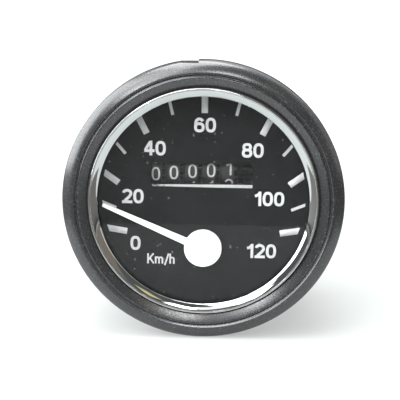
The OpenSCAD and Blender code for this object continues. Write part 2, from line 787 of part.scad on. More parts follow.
module lay_shaft() {
    color("#b0b0ae") face() translate([gear_x, lay_z, h_floor + 0.1])
        cylinder(r = shaft_r, h = h_bridge + 0.3 - h_floor);
}

module lay_wheel() {
    color("#d8d2bc") face() translate([gear_x, lay_z, h_worm]) rotate(-90) worm_wheel();
}

module lay_worm() {
    color("#c0b48a") face() translate([gear_x, lay_z, h_drum]) rotate(-90)
        worm(worm2_r, gear_pitch, shaft_r + seat_gap / 2, 1);
}

module counter_cheek(x) {
    across(x, 0, 0) linear_extrude(cheek_t) polygon([
        [-back_low - 0.6, -h_back + cheek_t], [-back_high, -h_back + cheek_t],
        [-pinion_z - 1.8, -h_drum + 1.2], [-pinion_z - 1.8, -h_drum - 1.2], [-pinion_z + 0.6, -h_drum - 2.6],
        [-drum_z + 1.4, -h_drum - 2.6], [-drum_z + 2.6, -h_drum - 1.2], [-drum_z + 2.6, -h_drum + 1.2]]);
}

// Bent sheet frame: a back plate and two cheeks that carry the drum shaft and the pinion shaft
module counter_frame() {
    x0 = cheek_left - cheek_t;
    x1 = cheek_right + cheek_t;
    color("#c4bfae") difference() {
        union() {
            counter_cheek(x0);
            counter_cheek(cheek_right);
            face() translate([x0, back_low, h_back - cheek_t]) cube([x1 - x0, back_high - back_low, cheek_t]);
        }
        across(x0 - 1, h_drum, drum_z) cylinder(r = drum_shaft_r + seat_gap / 2, h = x1 - x0 + 2);
        across(x0 - 1, h_drum, pinion_z) cylinder(r = pinion_shaft_r + seat_gap / 2, h = x1 - x0 + 2);
        face() for (p = posts) translate([p[0], p[1], h_back - cheek_t - 1])
            cylinder(r = rivet_r + seat_gap, h = cheek_t + 2);
    }
}

module counter_rivets() {
    color("#b4b4b0") face() for (p = posts) translate([p[0], p[1], 0]) {
        translate([0, 0, h_back]) cylinder(r = rivet_r + rivet_head_w, h = rivet_head_t);
        translate([0, 0, h_back - cheek_t - rivet_grip])
            cylinder(r = rivet_r, h = cheek_t + rivet_grip + rivet_head_t / 2);
    }
}

module drum_shaft() {
    color("#b0b0ae") across(cheek_left - cheek_t - 0.4, h_drum, drum_z)
        cylinder(r = drum_shaft_r, h = cheek_right - cheek_left + 2 * cheek_t + 0.8);
}

// Number drum: locking disc, printed band and toothed ring; the notch lets the carry pinion turn
module number_drum(i, notch) {
    across(drum_x(i) - drum_w / 2, h_drum, drum_z) difference() {
        union() {
            cylinder(r = lock_r, h = lock_w + 0.1);
            translate([0, 0, lock_w]) cylinder(r = drum_r, h = band_w);
            translate([0, 0, lock_w + band_w - 0.1]) rotate(180 / ring_teeth) linear_extrude(toothed_w + 0.1)
                polygon(wheel_points(ring_teeth, toothed_r, tooth_add, tooth_ded, 0.33));
        }
        translate([0, 0, -1]) cylinder(r = drum_shaft_r + run_gap, h = drum_w + 2);
        translate([0, 0, -1]) tube(toothed_r - 1.2, drum_shaft_r + 1.2, 0, band_w);
        rotate(180 + notch) translate([lock_r, 0, -1]) cylinder(r = 0.9, h = lock_w + 1);
    }
}

module drum_1() {
    color("#171717") number_drum(0, 18);
}

module drum_2() {
    color("#171717") number_drum(1, 18);
}

module drum_3() {
    color("#171717") number_drum(2, 18);
}

module drum_4() {
    color("#171717") number_drum(3, 18);
}

// The last drum also carries the drive gear that the lay worm turns
module drum_5() {
    start = drum_x(drums - 1) + drum_w / 2;
    color("#171717") {
        number_drum(drums - 1, 60);
        difference() {
            union() {
                across(start - 0.1, h_drum, drum_z) cylinder(r = gear_r - 1, h = gear_x - start + 0.2);
                across(gear_x - gear_w / 2, h_drum, drum_z) linear_extrude(gear_w)
                    polygon(wheel_points(gear_teeth, gear_r, add * gear_pitch, ded * gear_pitch,
                        half * gear_pitch));
            }
            across(start - 1, h_drum, drum_z) cylinder(r = drum_shaft_r + run_gap, h = 20);
        }
    }
}

module pinion_shaft() {
    color("#b0b0ae") across(cheek_left - cheek_t - 0.4, h_drum, pinion_z)
        cylinder(r = pinion_shaft_r, h = cheek_right - cheek_left + 2 * cheek_t + 0.8);
}

// Carry pinion: eight teeth on the toothed ring's side, every other one on the locking disc's side
module carry_pinion(i) {
    start = drum_x(i) + drum_w / 2 - toothed_w + 0.08;
    full_w = toothed_w - 0.08;
    width = full_w + drum_pitch - drum_w + lock_w - 0.08;
    across(start, h_drum, pinion_z) difference() {
        union() {
            linear_extrude(full_w)
                polygon(wheel_points(pinion_teeth, pinion_r, tooth_add, tooth_ded, 0.33));
            rotate(360 / pinion_teeth) linear_extrude(width)
                polygon(wheel_points(pinion_teeth / 2, pinion_r, tooth_add, tooth_ded, 0.33));
        }
        translate([0, 0, -1]) cylinder(r = pinion_shaft_r + run_gap, h = width + 2);
    }
}

module pinion_1() {
    color("#d8d2bc") carry_pinion(0);
}

module pinion_2() {
    color("#d8d2bc") carry_pinion(1);
}

module pinion_3() {
    color("#d8d2bc") carry_pinion(2);
}

module pinion_4() {
    color("#d8d2bc") carry_pinion(3);
}

case();
bezel();
bright_ring();
lens();
lens_gasket();
dial_sleeve();
dial();
dial_screws();
dial_spacers();
pointer();
pointer_staff();
spring_collet();
hairspring();
spring_anchor();
drag_cup();
bridge();
bridge_bush();
movement_frame();
drive_spindle();
spindle_worm();
magnet();
flux_cup();
spindle_bush();
thrust_washer();
cable_nipple();
mounting_studs();
case_screws();
lamp_holder();
lamp_bulb();
lamp_terminal();
cross_shaft();
cross_wheel();
cross_worm();
lay_shaft();
lay_wheel();
lay_worm();
counter_frame();
counter_rivets();
drum_shaft();
drum_1();
drum_2();
drum_3();
drum_4();
drum_5();
pinion_shaft();
pinion_1();
pinion_2();
pinion_3();
pinion_4();
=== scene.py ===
import json
import math
import bmesh
import bpy
import numpy as np
from mathutils import Matrix, Vector


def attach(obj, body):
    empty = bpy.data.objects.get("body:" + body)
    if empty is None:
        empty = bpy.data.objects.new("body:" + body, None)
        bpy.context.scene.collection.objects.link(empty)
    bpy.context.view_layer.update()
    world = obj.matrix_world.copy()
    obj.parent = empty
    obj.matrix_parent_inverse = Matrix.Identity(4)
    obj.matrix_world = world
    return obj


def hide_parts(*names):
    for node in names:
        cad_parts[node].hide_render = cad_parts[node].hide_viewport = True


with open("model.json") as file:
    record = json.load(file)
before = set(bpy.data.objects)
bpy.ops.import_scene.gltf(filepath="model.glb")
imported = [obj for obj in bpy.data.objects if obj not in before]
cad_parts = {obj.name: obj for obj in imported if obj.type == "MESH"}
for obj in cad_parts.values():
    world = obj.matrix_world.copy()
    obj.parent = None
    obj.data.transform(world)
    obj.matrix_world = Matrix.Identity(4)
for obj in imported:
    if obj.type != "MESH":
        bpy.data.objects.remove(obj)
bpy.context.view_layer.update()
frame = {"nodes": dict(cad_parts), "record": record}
nodes = frame["nodes"]
mm = 0.001

# the viewpoint: a little above the case axis, aimed at the middle of the bright ring's outer bead
viewpoint = {"aim": (0, -6.0, 0), "distance": 247.5, "elevation": 13.13, "azimuth": 1.22, "roll": 0.68,
             "lens": 105.4, "aimPixel": (203.03, 203.5), "frame": 400}


def placeCamera(v):
    e, a, r = (math.radians(v[k]) for k in ("elevation", "azimuth", "roll"))
    back = np.array([math.sin(a) * math.cos(e), -math.cos(a) * math.cos(e), math.sin(e)])
    right = np.array([math.cos(a), math.sin(a), 0.0])
    up = np.cross(back, right)
    data = bpy.data.cameras.new("camera")
    data.lens, data.sensor_width = v["lens"], 36
    data.clip_start, data.clip_end = 0.01, 20
    data.shift_x = 0.5 - v["aimPixel"][0] / v["frame"]
    data.shift_y = v["aimPixel"][1] / v["frame"] - 0.5
    camera = bpy.data.objects.new("camera", data)
    bpy.context.scene.collection.objects.link(camera)
    turn = np.eye(4)
    turn[:3, 0] = right * math.cos(r) + up * math.sin(r)
    turn[:3, 1] = up * math.cos(r) - right * math.sin(r)
    turn[:3, 2] = back
    turn[:3, 3] = (np.array(v["aim"]) + back * v["distance"]) * mm
    camera.matrix_world = Matrix(turn.tolist())
    bpy.context.scene.camera = camera


placeCamera(viewpoint)
print("camera placed")


class Wire:
    # a socket in a sum: each operator adds one Math node
    def __init__(self, finish, socket):
        self.finish, self.socket = finish, socket

    def math(self, operation, *terms):
        return self.finish.node("ShaderNodeMath", {"operation": operation}, dict(enumerate(terms)))

    def __add__(self, other):
        return self.math("ADD", self, other)

    __radd__ = __add__

    def __mul__(self, other):
        return self.math("MULTIPLY", self, other)

    __rmul__ = __mul__

    def __sub__(self, other):
        return self.math("SUBTRACT", self, other)

    def __rsub__(self, other):
        return self.math("SUBTRACT", other, self)

    def __pow__(self, other):
        return self.math("POWER", self, other)

    def sine(self):
        return self.math("SINE", self)

    def size(self):
        return self.math("ABSOLUTE", self)


class Finish:
    # one procedural material round one Principled shader
    def __init__(self, name, **fixed):
        self.material = bpy.data.materials.new(name)
        self.material.use_nodes = True
        self.tree = self.material.node_tree
        self.tree.nodes.clear()
        self.shader = self.tree.nodes.new("ShaderNodeBsdfPrincipled")
        end = self.tree.nodes.new("ShaderNodeOutputMaterial")
        self.tree.links.new(self.shader.outputs[0], end.inputs["Surface"])
        self.feed(**fixed)

    def put(self, made, key, value):
        if isinstance(value, Wire):
            self.tree.links.new(value.socket, made.inputs[key])
        else:
            made.inputs[key].default_value = value

    def feed(self, **sockets):
        names = {"colour": "Base Color", "rough": "Roughness", "metal": "Metallic", "normal": "Normal",
                 "gloss": "Specular IOR Level", "clear": "Transmission Weight", "bend": "IOR",
                 "glow": "Emission Color", "glowPower": "Emission Strength"}
        for key, value in sockets.items():
            self.put(self.shader, names[key], value)
        return self

    def node(self, kind, settings, sockets, out=0):
        made = self.tree.nodes.new(kind)
        for key, value in settings.items():
            setattr(made, key, value)
        for key, value in sockets.items():
            self.put(made, key, value)
        return Wire(self, made.outputs[out])

    def spot(self, stretch=None):
        place = self.node("ShaderNodeTexCoord", {}, {}, "Object")
        if stretch is None:
            return place
        return self.node("ShaderNodeMapping", {}, {"Vector": place, "Scale": stretch})

    def noise(self, scale, detail=3.0, rough=0.55, stretch=None, place=None):
        return self.node("ShaderNodeTexNoise", {}, {"Vector": place or self.spot(stretch), "Scale": scale,
                         "Detail": detail, "Roughness": rough}, "Fac")

    def ease(self, value, low, high):
        return self.node("ShaderNodeMapRange", {"interpolation_type": "SMOOTHSTEP"},
                         {"Value": value, "From Min": low, "From Max": high})

    def mix(self, share, first, second):
        four = lambda c: c if isinstance(c, Wire) else (*c, 1.0)
        return self.node("ShaderNodeMix", {"data_type": "RGBA"}, {0: share, 6: four(first), 7: four(second)}, 2)

    def axes(self):
        apart = self.node("ShaderNodeSeparateXYZ", {}, {"Vector": self.spot()})
        return [Wire(self, s) for s in apart.socket.node.outputs]

    def radius(self):
        # distance from the case axis, which runs along Y
        x, y, z = self.axes()
        return (x * x + z * z) ** 0.5

    def relief(self, height, strength, depth):
        return self.node("ShaderNodeBump", {}, {"Height": height, "Strength": strength, "Distance": depth})


# the two noise levels between which a mark goes from absent to full
span = {"cloud": (0.3, 0.7), "grit": (0.48, 0.72), "rub": (0.52, 0.75), "dust": (0.71, 0.80), "speck": (0.745, 0.80),
        "pit": (0.70, 0.80), "brown": (0.56, 0.78), "paintedShade": (0.32, 0.5), "film": (0.45, 0.8), "chip": (0.56, 0.62),
        "hair": (0.68, 0.74), "tarnish": (0.35, 0.75), "hole": (0.66, 0.76), "fleck": (0.62, 0.72),
        "body": (0.35, 0.8), "wear": (0.50, 0.66)}


def satinMoulding(name, s):
    # moulded black: mottled colour, fine grain, faint turning rings, pale rubbing on the front edge, dust
    f = Finish(name, gloss=s["gloss"])
    cloud, grain = f.noise(s["cloud"], 4), f.noise(s["grain"], 2)
    grit = f.ease(grain, *span["grit"])
    r = f.radius()
    edge = 1 - f.ease((r - s["edge"] * mm).size(), 0.0, s["edgeWide"] * mm)
    rubbed = edge * f.ease(f.noise(s["rubScale"], 4), *span["rub"]) * s["rub"]
    dust = f.ease(f.noise(s["dustScale"], 1), *span["dust"]) * s["dust"]
    colour = f.mix(cloud, s["dark"], s["pale"])
    colour = f.mix(grit * s["gritShare"], colour, s["grit"])
    colour = f.mix(rubbed, colour, s["rubColour"])
    colour = f.mix(dust, colour, s["dustColour"])
    rings = (r * (2 * math.pi / (s["ringPitch"] * mm))).sine()
    rough = cloud * s["cloudRough"] - grit * s["gritRough"] + s["rough"] + dust * s["dustRough"]
    return f.feed(colour=colour, rough=rough,
                  normal=f.relief(grain + rings * s["rings"], s["bump"], s["depth"] * mm))


def polishedTrim(name, s):
    # bright plating: rolling streaks run round the ring, smears and pits change the gloss, the plating browns in
    # places, and painted shade darkens the crease, in patches and more towards the bottom, and the gap beside the outer
    # bead
    f = Finish(name)
    smear = f.noise(s["smearScale"], 5, 0.6)
    x, y, z = f.axes()
    r = (x * x + z * z) ** 0.5
    around = f.node("ShaderNodeCombineXYZ", {}, {"X": x * s["streakAlong"], "Y": z * s["streakAlong"],
                                                 "Z": r * s["streakAcross"] + y * s["streakDeep"]})
    streak = f.noise(1.0, 3.0, 0.6, place=around)
    pits = f.ease(f.noise(s["pit"], 2), *span["pit"])
    brown = f.ease(f.noise(s["brownScale"], 3), *span["brown"]) * s["brown"]
    colour = f.mix(brown, s["bright"], s["tarnish"])
    colour = f.mix(pits * s["pits"], colour, s["pitColour"])
    # painted shade: the crease darkens in patches, more towards the bottom, and a painted shadow darkens the gap beside
    # the outer bead all round
    crease = 1 - f.ease((r - s["crease"] * mm).size(), *(v * mm for v in s["creaseWide"]))
    low = f.ease(0 - z, *(v * mm for v in s["low"]))
    gap = f.ease(r, *(v * mm for v in s["gap"]))
    paintedShade = crease * f.ease(smear, *span["paintedShade"]) * low * s["paintedShade"] + gap
    colour = f.mix(paintedShade, colour, s["paintedShadeColour"])
    rough = smear * s["smear"] + s["rough"] + pits * s["pitRough"] + paintedShade * s["paintedShadeRough"]
    return f.feed(colour=colour, rough=rough, metal=1 - paintedShade,
                  normal=f.relief(streak + smear * s["smearBump"], s["bump"], s["depth"] * mm))


def clearPane(name, s):
    # clear sheet: a hazy film and thin scratches along two directions roughen it
    f = Finish(name, clear=1.0, bend=s["bend"], colour=(*s["tint"], 1))
    film = f.ease(f.noise(s["filmScale"], 4), *span["film"])
    first, second = [f.ease(f.noise(s["scratchScale"], 2, 0.5, run), *levels) for run, levels in s["runs"]]
    return f.feed(rough=film * s["film"] + (first + second) * s["scratch"] + s["rough"])


def paintedSheet(name, s):
    # matt paint: cloudy colour, fine grain, dust specks
    f = Finish(name, gloss=s["gloss"])
    cloud, grain = f.noise(s["cloud"], 4), f.noise(s["grain"], 3)
    dust = f.ease(f.noise(s["dustScale"], 0.5), *span["speck"]) * s["dust"]
    colour = f.mix(f.ease(cloud, *span["cloud"]), s["dark"], s["pale"])
    colour = f.mix(dust, colour, s["dustColour"])
    return f.feed(colour=colour, rough=grain * s["grainRough"] + s["rough"],
                  normal=f.relief(grain, s["bump"], s["depth"] * mm))


def enamelShell(name, s):
    # black enamel on steel: orange peel, hair scratches, bare metal where the rear corner rubs
    f = Finish(name, gloss=s["gloss"])
    cloud, peel = f.noise(s["cloud"], 4), f.noise(s["peel"], 2)
    x, y, z = f.axes()
    r = (x * x + z * z) ** 0.5
    corner = f.ease(r + y, *(v * mm for v in s["corner"]))
    chips = corner * f.ease(f.noise(s["chip"], 6, 0.7), *span["chip"])
    scratch = f.ease(f.noise(s["hair"], 3, 0.6, s["hairRun"]), *span["hair"]) * s["hairs"]
    colour = f.mix(cloud, s["dark"], s["pale"])
    colour = f.mix(scratch, colour, s["hairColour"])
    colour = f.mix(chips, colour, s["bare"])
    return f.feed(colour=colour, rough=cloud * s["cloudRough"] + s["rough"] + scratch * s["hairRough"], metal=chips,
                  normal=f.relief(peel * s["peelHigh"] - chips * s["chipDeep"], s["bump"], s["depth"] * mm))


def workedMetal(name, s):
    # turned, rolled or cast metal: streaks along the tool's path, tarnish in clouds, small dark pits
    f = Finish(name, metal=1.0)
    streak = f.noise(s["streak"], 4, 0.6, s["along"])
    cloud = f.ease(f.noise(s["cloud"], 5, 0.6), *span["tarnish"])
    pits = f.ease(f.noise(s["pit"], 2), *span["hole"]) * s["pits"]
    colour = f.mix(cloud * s["tarnish"], s["bright"], s["dull"])
    colour = f.mix(streak * s["streaks"], colour, s["dull"])
    colour = f.mix(pits, colour, s["pitColour"])
    return f.feed(colour=colour, rough=streak * s["streakRough"] + cloud * s["cloudRough"] + s["rough"],
                  normal=f.relief(streak - pits, s["bump"], s["depth"] * mm))


def mouldedPart(name, s):
    # plain moulded or pressed stuff: cloudy colour, flecks, soft grain
    f = Finish(name, gloss=s["gloss"])
    cloud, grain = f.noise(s["cloud"], 4), f.noise(s["grain"], 3)
    fleck = f.ease(f.noise(s["fleckScale"], 2), *span["fleck"]) * s["fleck"]
    colour = f.mix(f.ease(cloud, *span["cloud"]), s["dark"], s["pale"])
    colour = f.mix(fleck, colour, s["fleckColour"])
    return f.feed(colour=colour, rough=cloud * s["cloudRough"] + s["rough"],
                  normal=f.relief(grain, s["bump"], s["depth"] * mm))


def printInk(name, s):
    # screen-printed white: slightly uneven body and a soft mesh-like grain; where a span along x is given, the print
    # darkens towards the left, the ground showing through in specks that grow denser to the left
    f = Finish(name, gloss=s["gloss"])
    body, grain = f.noise(s["body"], 4), f.noise(s["grain"], 2)
    colour = f.mix(f.ease(body, *span["body"]), s["pale"], s["thin"])
    if "worn" in s:
        whole = f.ease(f.axes()[0], *(v * mm for v in s["worn"]))
        colour = f.mix(f.ease(f.noise(s["wear"], 3) + whole * s["whole"], *span["wear"]), s["ground"], colour)
    return f.feed(colour=colour, rough=grain * s["grainRough"] + s["rough"],
                  normal=f.relief(grain, s["bump"], s["depth"] * mm))


def metalStyle(bright, dull, rough, **more):
    return {"bright": bright, "dull": dull, "rough": rough, "streak": 900, "along": (1, 1, 1), "streaks": 0.35,
            "streakRough": 0.22, "cloud": 260, "cloudRough": 0.12, "pit": 2600, "pits": 0.5,
            "pitColour": (0.05, 0.045, 0.04), "tarnish": 0.6, "bump": 0.25, "depth": 0.02, **more}


def stuffStyle(dark, pale, rough, **more):
    return {"dark": dark, "pale": pale, "rough": rough, "gloss": 0.4, "cloud": 300, "cloudRough": 0.14, "grain": 2600,
            "fleckScale": 2200, "fleck": 0.25, "fleckColour": (0.12, 0.12, 0.12), "bump": 0.25, "depth": 0.03, **more}


def paintStyle(dark, pale, **more):
    return {"dark": dark, "pale": pale, "grainRough": 0.15, "depth": 0.015, **more}


def inkStyle(pale, thin, **more):
    return {"pale": pale, "thin": thin, "gloss": 0.3, "rough": 0.5, "body": 900, "grain": 5200, "grainRough": 0.2,
            "bump": 0.2, "depth": 0.01, **more}


# one finish for each material slot of the part
slotFinish = {
    "black_moulding": satinMoulding("satinBlackMoulding", {
        "dark": (0.0115, 0.012, 0.0137), "pale": (0.0225, 0.0233, 0.0255), "cloud": 140, "cloudRough": 0.12,
        "rough": 0.19, "gloss": 0.85, "grain": 2400, "grit": (0.06, 0.061, 0.065), "gritShare": 0.5, "gritRough": 0.08,
        "edge": 26.6, "edgeWide": 0.35, "rub": 0.55, "rubScale": 1500, "rubColour": (0.16, 0.155, 0.15),
        "dust": 0.3, "dustScale": 2400, "dustColour": (0.22, 0.22, 0.21), "dustRough": 0.3,
        "rings": 0.08, "ringPitch": 0.16, "bump": 0.1, "depth": 0.07}),
    "bright_trim": polishedTrim("polishedTrim", {
        "bright": (0.52, 0.54, 0.54), "tarnish": (0.42, 0.38, 0.31), "brown": 0.55, "brownScale": 90,
        "smear": 0.08, "smearScale": 220, "smearBump": 0.4, "rough": 0.02,
        "streakAlong": 60, "streakAcross": 3600, "streakDeep": 1800, "bump": 0.12, "depth": 0.012,
        "pit": 3800, "pits": 0.6, "pitRough": 0.3, "pitColour": (0.18, 0.15, 0.12),
        # crease, low and gap place the painted shade: the crease, the heights over which it strengthens towards the
        # bottom, and the gap beside the outer bead
        "crease": 24.0, "creaseWide": (0.05, 0.15), "low": (-4, 10), "gap": (24.41, 24.46),
        "paintedShade": 0.9, "paintedShadeRough": 0.5, "paintedShadeColour": (0.035, 0.03, 0.025)}),
    "clear": clearPane("clearPane", {
        "tint": (0.985, 0.99, 0.99), "bend": 1.285, "film": 0.012, "filmScale": 120, "rough": 0.0, "scratch": 0.02,
        "scratchScale": 700, "runs": [((1, 1, 14), (0.70, 0.78)), ((13, 1, 1), (0.72, 0.80))]}),
    "dial_black": paintedSheet("mattBlackDial", paintStyle(
        (0.0022, 0.0023, 0.0029), (0.0048, 0.005, 0.006), rough=0.55, gloss=0.1, cloud=180, grain=6500, bump=0.25,
        dust=0.5, dustScale=1100, dustColour=(0.22, 0.22, 0.21))),
    "pointer_white": paintedSheet("mattWhitePaint", paintStyle(
        (0.84, 0.84, 0.83), (0.92, 0.92, 0.91), rough=0.35, gloss=0.4, cloud=240, grain=4200, bump=0.15,
        dust=0.25, dustScale=1300, dustColour=(0.45, 0.44, 0.42))),
    "black_shell": enamelShell("blackEnamel", {
        "dark": (0.010, 0.010, 0.011), "pale": (0.022, 0.022, 0.022), "gloss": 0.5, "rough": 0.26, "cloud": 120,
        "cloudRough": 0.2, "peel": 1600, "peelHigh": 0.5, "corner": (55.7, 57.5), "chip": 520, "chipDeep": 0.8,
        "bare": (0.42, 0.41, 0.40), "hair": 260, "hairRun": (1, 22, 1), "hairs": 0.5, "hairRough": 0.2,
        "hairColour": (0.075, 0.075, 0.075), "bump": 0.25, "depth": 0.02}),
    "black_rubber": mouldedPart("blackRubber", stuffStyle(
        (0.012, 0.012, 0.012), (0.03, 0.03, 0.029), 0.62, grain=3200, fleck=0.3, fleckColour=(0.10, 0.10, 0.095),
        bump=0.4)),
    "steel": workedMetal("zincedSteel", metalStyle((0.66, 0.66, 0.64), (0.40, 0.39, 0.36), 0.22, along=(1, 6, 1))),
    "brass": workedMetal("turnedBrass", metalStyle((0.80, 0.60, 0.28), (0.42, 0.29, 0.13), 0.2, along=(1, 5, 1))),
    "spring_bronze": workedMetal("rolledBronze", metalStyle((0.74, 0.52, 0.30), (0.40, 0.26, 0.14), 0.2)),
    "bearing_bronze": workedMetal("sinteredBronze", metalStyle(
        (0.58, 0.38, 0.18), (0.30, 0.19, 0.09), 0.42, pit=3600, pits=0.9)),
    "sheet_steel": workedMetal("platedSheet", metalStyle(
        (0.68, 0.66, 0.58), (0.44, 0.41, 0.34), 0.3, along=(7, 1, 1))),
    "soft_iron": workedMetal("pressedIron", metalStyle((0.44, 0.44, 0.45), (0.24, 0.23, 0.22), 0.36, pits=0.7)),
    "drag_metal": workedMetal("spunAluminium", metalStyle(
        (0.82, 0.82, 0.81), (0.60, 0.60, 0.59), 0.2, along=(1, 8, 1))),
    "magnet_grey": workedMetal("castMagnet", metalStyle(
        (0.28, 0.28, 0.30), (0.15, 0.15, 0.16), 0.5, pit=1800, pits=0.9)),
    "die_cast": workedMetal("castZinc", metalStyle(
        (0.58, 0.58, 0.57), (0.36, 0.35, 0.34), 0.34, pit=2000, pits=0.8)),
    "fibre": mouldedPart("pressedFibre", stuffStyle(
        (0.16, 0.085, 0.04), (0.30, 0.17, 0.09), 0.7, fleckColour=(0.06, 0.035, 0.02), fleck=0.6)),
    "gear_nylon": mouldedPart("gearNylon", stuffStyle(
        (0.70, 0.65, 0.52), (0.82, 0.79, 0.69), 0.4, fleckColour=(0.45, 0.38, 0.25), fleck=0.3)),
    "drum_black": mouldedPart("drumMoulding", stuffStyle(
        (0.008, 0.008, 0.0085), (0.017, 0.017, 0.018), 0.45, grain=3800, fleckColour=(0.09, 0.09, 0.09))),
}
inks = {
    "dial": printInk("dialInk", inkStyle((0.56, 0.57, 0.57), (0.46, 0.47, 0.47))),
    # the line under the counter's window is darker towards its left end
    "line": printInk("lineInk", inkStyle((0.4, 0.41, 0.41), (0.34, 0.35, 0.35), worn=(-13.5, 2.0), wear=2600,
                                         whole=0.62, ground=(0.02, 0.02, 0.022))),
    # the drum print is a greyer copy of the dial's white: painted shade for the digits in the recess behind the
    # counter's window
    "drum": printInk("drumInk", inkStyle((0.42, 0.42, 0.41), (0.32, 0.32, 0.32))),
}

for entry in frame["record"]["subparts"]:
    finish = slotFinish[entry["material_slot"]].material
    slots = nodes[entry["node"]].data.materials
    slots.clear()
    slots.append(finish)
nodes["lens"].visible_shadow = False
print("finishes:", len(slotFinish) + len(inks))


def gridFaces(rows, cols, wrapRows=False, wrapCols=False):
    # quads between neighbours of a rows x cols grid that is numbered row by row
    i = np.arange(rows if wrapRows else rows - 1)[:, None]
    j = np.arange(cols if wrapCols else cols - 1)[None, :]
    down, along = (i + 1) % rows * cols, (j + 1) % cols
    return np.stack(np.broadcast_arrays(i * cols + j, i * cols + along, down + along, down + j), -1).reshape(-1, 4)


mergeWithin = 1e-8


def addPiece(name, shapes, finish, body, replaced=(), sharp=35):
    starts = np.cumsum([0] + [len(s[0]) for s in shapes])
    points = np.concatenate([s[0] for s in shapes]) * mm
    faces = [f for s, k in zip(shapes, starts) for group in s[1:] for f in (np.asarray(group) + k).tolist()]
    mesh = bpy.data.meshes.new(name)
    mesh.from_pydata(points.tolist(), [], faces)
    work = bmesh.new()
    work.from_mesh(mesh)
    bmesh.ops.remove_doubles(work, verts=work.verts, dist=mergeWithin)
    bmesh.ops.recalc_face_normals(work, faces=work.faces)
    work.to_mesh(mesh)
    work.free()
    mesh.shade_smooth()
    mesh.set_sharp_from_angle(angle=math.radians(sharp))
    mesh.materials.append(finish.material)
    piece = bpy.data.objects.new(name, mesh)
    bpy.context.scene.collection.objects.link(piece)
    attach(piece, body)
    if replaced:
        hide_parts(*replaced)
    return piece


def bow(cx, cy, rx, ry, start, end, n=16):
    # part of an ellipse: centre plus (rx cos a, ry sin a)
    a = np.radians(np.linspace(start, end, n))
    return np.stack([cx + rx * np.cos(a), cy + ry * np.sin(a)], -1)


def eased(points, cut, n=5):
    # each corner becomes a parabola between two points that lie cut away from it along its sides
    p = np.asarray(points, float)
    cut = np.broadcast_to(np.asarray(cut, float), len(p))
    ends = []
    for side in (np.roll(p, 1, 0) - p, np.roll(p, -1, 0) - p):
        length = np.linalg.norm(side, axis=1)
        ends.append(p + side * (np.minimum(cut, 0.45 * length) / length)[:, None])
    t = np.linspace(0, 1, n)[None, :, None]
    a, b = ends
    return ((1 - t) ** 2 * a[:, None] + 2 * t * (1 - t) * p[:, None] + t ** 2 * b[:, None]).reshape(-1, 2)


def turned(profile, steps=240, centre=(0, 0), thread=None, loop=True):
    # a profile of (radius, height) swung round an axis along Y: x = cx + r cos t, z = cz + r sin t, y = -height
    # a thread lowers r by depth times a clipped triangle wave of (height / pitch - t / turn), which fades in and out
    # at the ends of its stretch; steps is a count of even steps, or the angles themselves
    t = np.linspace(0, 2 * np.pi, steps, endpoint=False) if np.isscalar(steps) else steps
    count, t = len(t), t[:, None]
    r, h = np.broadcast_arrays(profile[None, :, 0], profile[None, :, 1] + 0 * t)
    if thread:
        fade, slope, crest = 0.4, 1.3, 0.15
        wave = np.abs(2 * ((h / thread["pitch"] - t / (2 * np.pi)) % 1) - 1)
        gate = np.clip((h - thread["from"]) / fade, 0, 1) * np.clip((thread["to"] - h) / fade, 0, 1)
        r = r - thread["depth"] * np.clip(wave * slope - crest, 0, 1) * gate * (r > thread["least"])
    points = np.stack([centre[0] + r * np.cos(t), -h, centre[1] + r * np.sin(t)], -1).reshape(-1, 3)
    return points, gridFaces(count, profile.shape[0], True, loop)


# moulded bezel: rounded rear rim, flattened shoulder, fine groove, fine ridge, dish that falls to the ring
bezelShape = {"outer": 30.0, "shoulder": 27.5, "side": 4.9, "depth": 6.5, "flatness": 1.5, "groove": (27.1, 6.0),
              "edge": (26.6, 6.3), "mouth": (24.75, 5.35), "crown": 0.04, "lip": 5.1, "bore": 26.95, "soft": 0.1,
              "boreEnd": 0.35, "rear": 27.3, "rearRound": 1.2, "spacing": 0.06, "steps": 320,
              "flat": {"from": -4.7, "to": -1.3, "level": 29.55, "deep": 5.6, "spill": 0.004, "nudge": 0.0008}}


def flatBow(cx, cy, rx, ry, power, n):
    # quarter of a superellipse: centre plus (rx cos a to the power, ry sin a to the power)
    a = np.linspace(0, np.pi / 2, n)
    return np.stack([cx + rx * np.cos(a).clip(0) ** power, cy + ry * np.sin(a) ** power], -1)


def softened(line, step, reach):
    # evenly spaced points along a line, each the mean of its neighbours weighted by a bell curve
    far = np.concatenate([[0], np.cumsum(np.linalg.norm(np.diff(line, axis=0), axis=1))])
    u = np.linspace(0, far[-1], int(far[-1] / step) + 1)
    side = int(3 * reach / step) + 1
    bell = np.exp(-0.5 * (np.arange(-side, side + 1) * step / reach) ** 2)
    even = np.stack([np.interp(u, far, line[:, 0]), np.interp(u, far, line[:, 1])], -1)
    even = np.pad(even, ((side, side), (0, 0)), mode="reflect", reflect_type="odd")
    return np.stack([np.convolve(even[:, k], bell / bell.sum(), "valid") for k in (0, 1)], -1)


def bezelProfile(s):
    # the dish runs straight from the edge to the mouth, plus a parabola of the crown's height
    v = np.linspace(0, 1, 40)[:, None]
    edge, mouth = np.array(s["edge"]), np.array(s["mouth"])
    dish = edge + (mouth - edge) * v + np.array([0, 4 * s["crown"]]) * v * (1 - v)
    shoulder = flatBow(s["shoulder"], s["side"], s["outer"] - s["shoulder"], s["depth"] - s["side"], s["flatness"], 40)
    rim = s["rearRound"]
    return np.concatenate([
        [[s["bore"], s["boreEnd"]], [s["rear"], 0.0]], bow(s["outer"] - rim, rim, rim, rim, -90, 0, 12),
        softened(np.concatenate([shoulder, [s["groove"]], dish]), s["spacing"], s["soft"]),
        [[mouth[0], s["lip"]], [s["bore"], s["lip"]]]])


